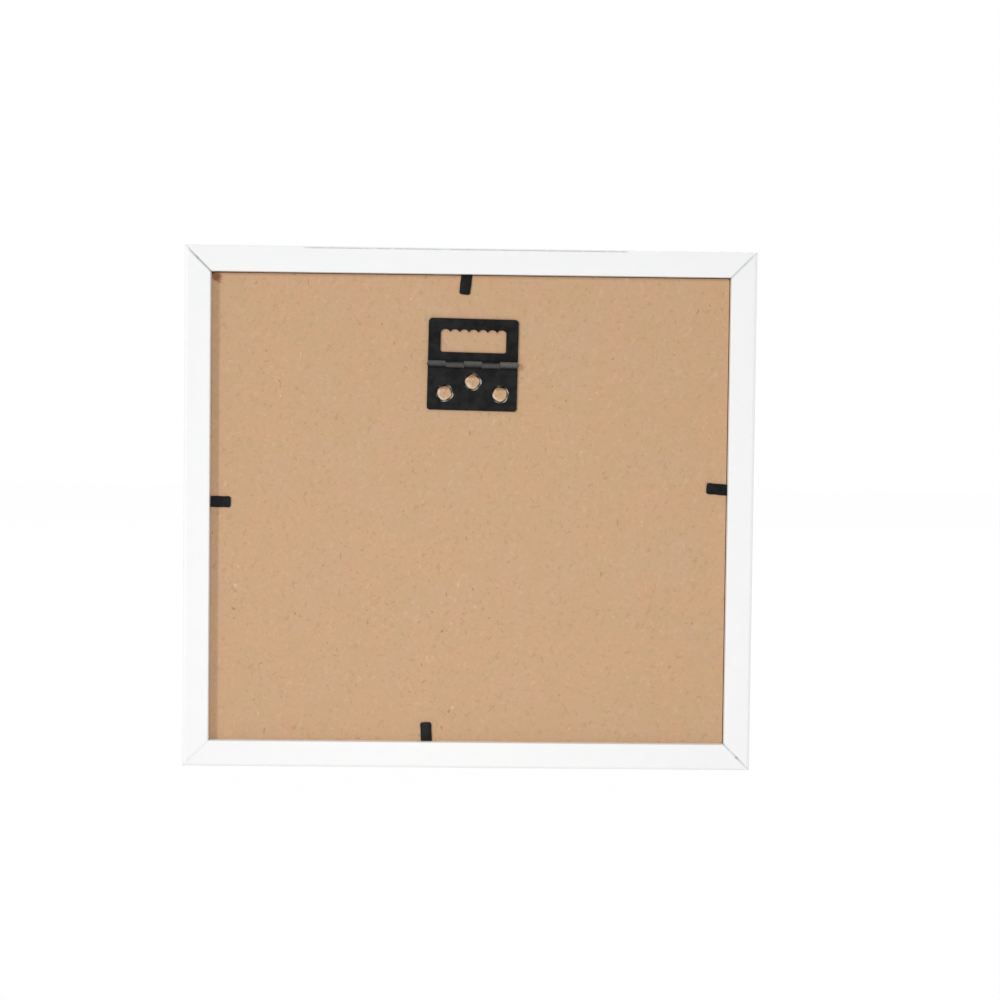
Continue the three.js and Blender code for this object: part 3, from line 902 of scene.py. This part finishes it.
def loopRing():
    # rows from the outline in to the window on the face, through the window and out again on the back
    inner, outer = loopOutlines()
    middle = (inner + outer) / 2
    rows = [outer, middle, inner, inner, middle, outer]
    flat = joined(*rows)
    level = np.repeat([-halfSheet, halfSheet], len(flat) // 2)
    points = rolled(*flat.T, level, loopSide)
    return points, ringFaces(len(rows), outer, ~onTongue(outer, (1, 3))), np.zeros(len(points))


def loopPiece(finish):
    parts = [loopRing(), tongue(1, loopSide), tongue(3, loopSide)]
    leafPiece("hanger.loop", "loop", "hanger_loop", parts, finish)


def pinPiece(finish):
    # circles along the pin, closing over each end in a flat peened dome
    p = hingePin
    half = hanger["width"] / 2 + p["overhang"]
    sideEnd = half - p["dome"]
    turn = np.radians(np.linspace(*p["domeTurns"]))
    domeRadius = p["radius"] * (p["flatShare"] + (1 - p["flatShare"]) * np.sin(turn))
    rise = sideEnd + p["dome"] * np.cos(turn)
    inner = sideEnd - p["sideInset"]
    x = joined(-rise, np.linspace(-inner, inner, p["sideRows"]), rise[::-1])
    radius = joined(domeRadius, np.full(p["sideRows"], p["radius"]), domeRadius[::-1])[:, None]
    angle = circle(p["columns"])
    points, faces = tube(atHinge(x[:, None], radius * np.cos(angle), radius * np.sin(angle)))
    wearAndSheen = np.repeat(np.where(np.abs(x) > half - p["endLength"], p["endWear"], p["sideWear"]), len(angle))
    piece = makePiece("hanger.pin", points, faces, [finish], wearAndSheen=wearAndSheen)
    dress(piece, "frame", "hinge_pin")


# Board, card and clear sheet: slabs with rounded corners and eased edges
boardLook = {
    "corners": (0.9, 0.9, 1.8, 0.9),  # lower right, upper right, upper left, which was knocked, lower left
    "ease": 0.3,
    # how far its low and high corners lie from the solid's: it was pushed down and to the left in its play
    "shifts": ((-0.25, 0.0, -0.25), (-0.05, 0.0, -0.05)),
    "tans": ((199, 161, 125), (197, 162, 130)),
    "clouds": (38, 0.15, 0, 1, 3, 0.6),
    "patchNoise": (3, 0.6),
    "patches": (  # size, range, colour
        (16, (0.5, 0.68, 0, 0.8), (202, 160, 129)),
        (8, (0.48, 0.7, 0, 0.8), (193, 162, 123)),
    ),
    "strandTurns": (8, 64, 121),  # degrees
    "strandSize": 1.2,
    "strandGrowth": 0.23,  # from one layer of strands to the next
    "strandLengths": (2.3, 1, 1), "strandNoise": (3, 0.6, 0.7),  # detail, roughness and wander
    "strands": (((0.6, 0.72, 0, 0.3), (160, 120, 86)), ((0.4, 0.3, 0, 0.2), (222, 190, 156))),
    "fleckLengths": (1.7, 1, 1),
    "fleckTurn": 40,  # degrees for each millimetre of size
    "fleckNoise": (2, 0.5, 0.5),
    "flecks": (  # size, range, colour
        (2.2, (0.71, 0.77, 0, 0.5), (136, 98, 66)),
        (1.7, (0.73, 0.79, 0, 0.55), (112, 80, 56)),
        (2.3, (0.71, 0.78, 0, 0.45), (230, 204, 176)),
    ),
    "fibres": (0.7, 4, 0.65),
    "tooth": (0.25, 0.08), "glossRange": (0.8, 2.2, 0.72, 0.88), "specular": 0.25,
}
bruise = {  # on the knocked corner
    "place": (-125.8, -2.75, 242.0),
    "edge": (7.3, 4.8),
    "ragged": (3, 7),  # size and reach
    "depth": 0.8,
    "colour": (126, 74, 41),
}
# pale crushed fibres that also stand for painted light: they are put on each stake's lower side, where the
# light falls
crushedAndLit = {  # pale fibres inside each stake, at its lower left
    "edge": (4.8, 6.2),
    "ragged": (2.2, 6),
    "away": (0.85, 0, 0.53),
    "slant": (0.8, -1.8),
    "depth": 0.75,
    "colour": (228, 207, 186),
}
# painted shade: brown put under each stake's upper edge, where the rolled mouth shades the board
stakeShade = {"above": (1.2, 3.0), "depth": 0.8, "colour": (138, 98, 68)}  # under each stake's upper edge
groove = {
    "outer": 4.55, "inner": 3.4, "depth": 2.15, "above": 0.6,
    "below": 0.1,  # from the plate's back to the board's face
    "dish": ((3.4, 0.08), (3.0, 0.16), (2.4, 0.22), (1.6, 0.25), (0.7, 0.26), (0.05, 0.26)),  # radius, depth
    "dishWaves": ((2, 1.3, 0.45), (5, 2.2, 0.25)),
    "chips": ((4, 1.7, 0.04), (5, 2.9, 0.03)),
    "columns": 64,
}
cardLook = {
    "corners": (0.3,) * 4,
    "ease": 0.06,
    "shades": ((245, 243, 237), (249, 247, 242)),
    "clouds": (14, 0.2),
    "fibre": (234, 229, 219), "fibres": (0.5, 4, 0.65), "fibreLengths": (1, 1, 1),
    "fibreRange": (0.64, 0.74, 0, 0.3),
    "tooth": (0.3, 0.05), "roughness": 0.85, "specular": 0.3,
}
glazingLook = {
    "corners": (0.6,) * 4,
    "ease": 0.35,
    "colour": (253, 255, 254),
    "ior": 1.5,
    "smearSize": 45,
    "smearRange": (0.4, 0.7, 0.01, 0.03),
}


def inStakes(coords, base):
    # the board's colour inside the stakes: pale crushed fibres towards the lower left, lightened there also
    # as painted light, and brown near the top as painted shade
    for place in stakes["places"]:
        middle = Vector(rolled(*place, halfSheet, plateSide)) * mm
        offset = vectorMaths("SUBTRACT", coords, middle)
        away = vectorMaths("DISTANCE", coords, middle)
        inside = maths("LESS_THAN", away, groove["outer"] * mm)
        slantwise = vectorMaths("DOT_PRODUCT", offset, crushedAndLit["away"])
        paleAndLit = fade(roughened(coords, away, *crushedAndLit["ragged"]), crushedAndLit["edge"])
        paleAndLit = product(paleAndLit, inside, fade(slantwise, crushedAndLit["slant"], crushedAndLit["depth"]))
        base = colourMix(paleAndLit, base, crushedAndLit["colour"])
        paintedShade = product(fade(axes(offset)[2], stakeShade["above"], stakeShade["depth"]), inside)
        base = colourMix(paintedShade, base, stakeShade["colour"])
    return base


def fibreboardFinish():
    # pressed fibres: soft clouds, crossing strands, dark and pale flecks, and one bruised corner
    finish, shader, coords = newFinish("fibreboard")
    look = boardLook
    base = colourMix(mottle(coords, *look["clouds"]), *look["tans"])
    for size, limits, shade in look["patches"]:
        base = colourMix(ramp(noise(coords, size, *look["patchNoise"]), *limits), base, shade)
    height = noise(coords, *look["fibres"])
    for number, degrees in enumerate(look["strandTurns"]):
        turned = stretched(coords, look["strandLengths"], degrees)
        size = look["strandSize"] * (1 + look["strandGrowth"] * number)
        strands = noise(turned, size, *look["strandNoise"])
        for limits, shade in look["strands"]:
            base = colourMix(ramp(strands, *limits), base, shade)
        height = maths("ADD", height, strands)
    for size, limits, shade in look["flecks"]:
        turned = stretched(coords, look["fleckLengths"], look["fleckTurn"] * size)
        base = colourMix(ramp(noise(turned, size, *look["fleckNoise"]), *limits), base, shade)
    away = vectorMaths("DISTANCE", coords, Vector(bruise["place"]) * mm)
    bruised = fade(roughened(coords, away, *bruise["ragged"]), bruise["edge"], bruise["depth"])
    base = inStakes(coords, colourMix(bruised, base, bruise["colour"]))
    paint(shader, look, base, ramp(height, *look["glossRange"]), height)
    return finish


def clearSheetFinish():
    # float glass: clear through its faces, with the faintest green and slight smears
    finish, shader, coords = newFinish("clearSheet")
    look = glazingLook
    setInputs(shader, {
        "Base Color": colour(*look["colour"]),
        "Roughness": ramp(noise(coords, look["smearSize"]), *look["smearRange"]),
        "IOR": look["ior"],
        "Transmission Weight": 1.0,
    })
    return finish


def stakeGroove(index):
    # a ring cut down into the board about a stake, and the shallow uneven dish that is pressed inside it
    g = groove
    above, outer = -g["above"], g["outer"]
    ring = [(g["dish"][-1][0], above), (outer, above), (outer, g["depth"]), (g["inner"], g["depth"])]
    radius, depth = np.array([*ring, *g["dish"]]).T[..., None]
    angle = circle(g["columns"])
    dished = np.arange(len(radius))[:, None] >= len(ring)
    level = depth * (1 + dished * waves(angle, index, g["dishWaves"]))
    radius = radius * (1 + waves(angle, index, g["chips"]) * (radius < outer))
    across, down = stakes["places"][index]
    x, out = across + radius * np.cos(angle), down + radius * np.sin(angle)
    return tube(rolled(x, out, halfSheet + g["below"] + level, plateSide))


def slab(low, high, radii, ease, cornerSteps=6, easeSteps=3):
    # a rounded rectangle carried round its rim: out on one face, over the edge and in on the other face
    (lowX, lowY, lowZ), (highX, highY, highZ) = low, high
    radii, signX, signZ = np.array(radii), np.array([1, 1, -1, -1]), np.array([-1, 1, 1, -1])
    count = cornerSteps + 1
    angle = np.radians(np.repeat([-90, 0, 90, 180], count) + np.tile(np.linspace(0, 90, count), 4))
    centreX = np.repeat(np.where(signX > 0, highX, lowX) - signX * radii, count)
    centreZ = np.repeat(np.where(signZ > 0, highZ, lowZ) - signZ * radii, count)
    turn = np.linspace(0, math.pi / 2, easeSteps + 1)
    inset = joined(ease * (1 - np.sin(turn)), ease * (1 - np.cos(turn)))
    depth = joined(lowY + ease * (1 - np.cos(turn)), highY - ease * (1 - np.sin(turn)))
    reach = np.repeat(radii, count) - inset[:, None]
    y = np.repeat(depth[:, None], len(angle), 1)
    return tube(np.stack([centreX + reach * np.cos(angle), y, centreZ + reach * np.sin(angle)], -1))


def slabPiece(name, node, look, finish, cuts=()):
    low, high = nodeBox(node) + np.array(look.get("shifts", 0.0))
    points, faces = slab(low, high, look["corners"], look["ease"])
    piece = makePiece(name, points, faces, [finish])
    if cuts:
        carve(piece, cuts, 0)
    flattenFaces(piece)
    dress(piece, "frame", node)


blackSteel = blackSteelFinish()
foilFinishes = [whiteFoilFinish(), fibrousFinish("rawFibre", coreLook)]
for sideName in rails["turns"]:
    railPiece(sideName, foilFinishes)
    tabPiece(sideName, blackSteel)
print("rails and tabs made")

brightSteel = brightSteelFinish()
for cornerName in corners:
    nailFinishes = frame["nodes"][f"corner_nail_{cornerName}"].data.materials
    nailFinishes.clear()
    nailFinishes.append(brightSteel)
print("corner nails finished")

boardCuts = [stakeGroove(index) for index in range(3)]
slabPiece("board", "back_board", boardLook, fibreboardFinish(), boardCuts)
slabPiece("insertCard", "photo_insert", cardLook, fibrousFinish("insertCard", cardLook))
slabPiece("glazingSheet", "glazing", glazingLook, clearSheetFinish())
print("board, card and clear sheet made")

platePiece(blackSteel)
loopPiece(blackSteel)
pinPiece(blackSteel)
print("hanger made")


# Floor, world and lamps
studio = {
    "floorSize": 8.0,
    "floorDrop": 0.0003,  # below the frame's underside
    "floorShade": 0.7,
    "tableGlow": 0.55,  # of the light that comes up off the floor, as from a lit table
    "shadowShare": 0.02,  # of the floor's look that takes shadow; the rest is plain white
    "footShare": 0.5,  # the same beside the frame's foot, on its front
    "footReach": 0.16,
    "skyLight": 0.57,
    "middle": (0.0, 0.0, 0.128),
}
lamps = {  # the way from the middle towards it, distance, size and watts
    "key": ((-0.90, -1.0, 0.37), 4.5, 0.5, 65.0),
    "low": ((-0.06, -1.0, -0.26), 0.39, 0.06, 0.205),
    "top": ((0.0, 0.06, 1.0), 1.6, 0.6, 4.5),
    "right": ((1.0, 0.06, 0.1), 1.6, 0.6, 4.0),
    "front": ((0.35, 1.0, 0.5), 2.2, 0.8, 13.0),
}


def grey(shade):
    return (shade, shade, shade, 1)


def emptyTree(owner):
    owner.use_nodes = True
    owner.node_tree.nodes.clear()
    return owner.node_tree


def backgroundRay(tree):
    # 1 for the rays that see the surroundings themselves: from the camera, off gloss or through glass
    path = tree.nodes.new("ShaderNodeLightPath").outputs
    seen = maths("MAXIMUM", path["Is Camera Ray"], path["Is Glossy Ray"])
    return maths("MAXIMUM", seen, path["Is Transmission Ray"])


def mixShader(factor, a, b):
    return addNode("MixShader", {0: factor, 1: a.outputs[0], 2: b.outputs[0]})


def addWorld():
    world = bpy.data.worlds.new("studioWorld")
    tree = emptyTree(world)
    light = addNode("Background", {"Color": grey(1), "Strength": studio["skyLight"]}, tree)
    seen = addNode("Background", {"Color": grey(1)}, tree)
    mixed = mixShader(backgroundRay(tree), light, seen)
    addNode("OutputWorld", {"Surface": mixed.outputs[0]})
    scene.world = world


def floorFinish():
    # what is seen is white and takes a share of shadow; what lights the frame is a pale, glowing table
    finish = bpy.data.materials.new("studioFloor")
    tree = emptyTree(finish)
    plain = addNode("BsdfDiffuse", {"Color": grey(studio["floorShade"])}, tree)
    bright = addNode("BsdfDiffuse", {"Color": grey(1)}, tree)
    glow = addNode("Emission", {"Color": grey(1)}, tree)
    x, y, _ = axes(tree.nodes.new("ShaderNodeTexCoord").outputs["Object"])
    inFront = product(ramp(y, studio["footReach"], 0), maths("GREATER_THAN", y, 0))
    atFoot = product(inFront, fade(apart(x), (frameWidth / 2, frameWidth / 3)))
    seen = mixShader(ramp(atFoot, 0, 1, studio["shadowShare"], studio["footShare"]), glow, bright)
    table = mixShader(studio["tableGlow"], plain, glow)
    mixed = mixShader(backgroundRay(tree), table, seen)
    addNode("OutputMaterial", {"Surface": mixed.outputs[0]})
    return finish


def addFloor():
    half = studio["floorSize"] / 2
    mesh = bpy.data.meshes.new("studioFloor")
    points = [(-half, -half, 0), (half, -half, 0), (half, half, 0), (-half, half, 0)]
    mesh.from_pydata(points, [], [(0, 1, 2, 3)])
    mesh.materials.append(floorFinish())
    floor = addObject("studioFloor", mesh)
    floor.location.z = cadLow.z - studio["floorDrop"]


def addLamp(name, toward, distance, size, watts):
    data = bpy.data.lights.new(name, "AREA")
    data.size = size
    data.energy = watts
    middle = Vector(studio["middle"])
    addAimed(name, data, middle + Vector(toward).normalized() * distance, middle)


addWorld()
addFloor()
for lampName, lampRow in lamps.items():
    addLamp(lampName, *lampRow)
print("floor and lights set")
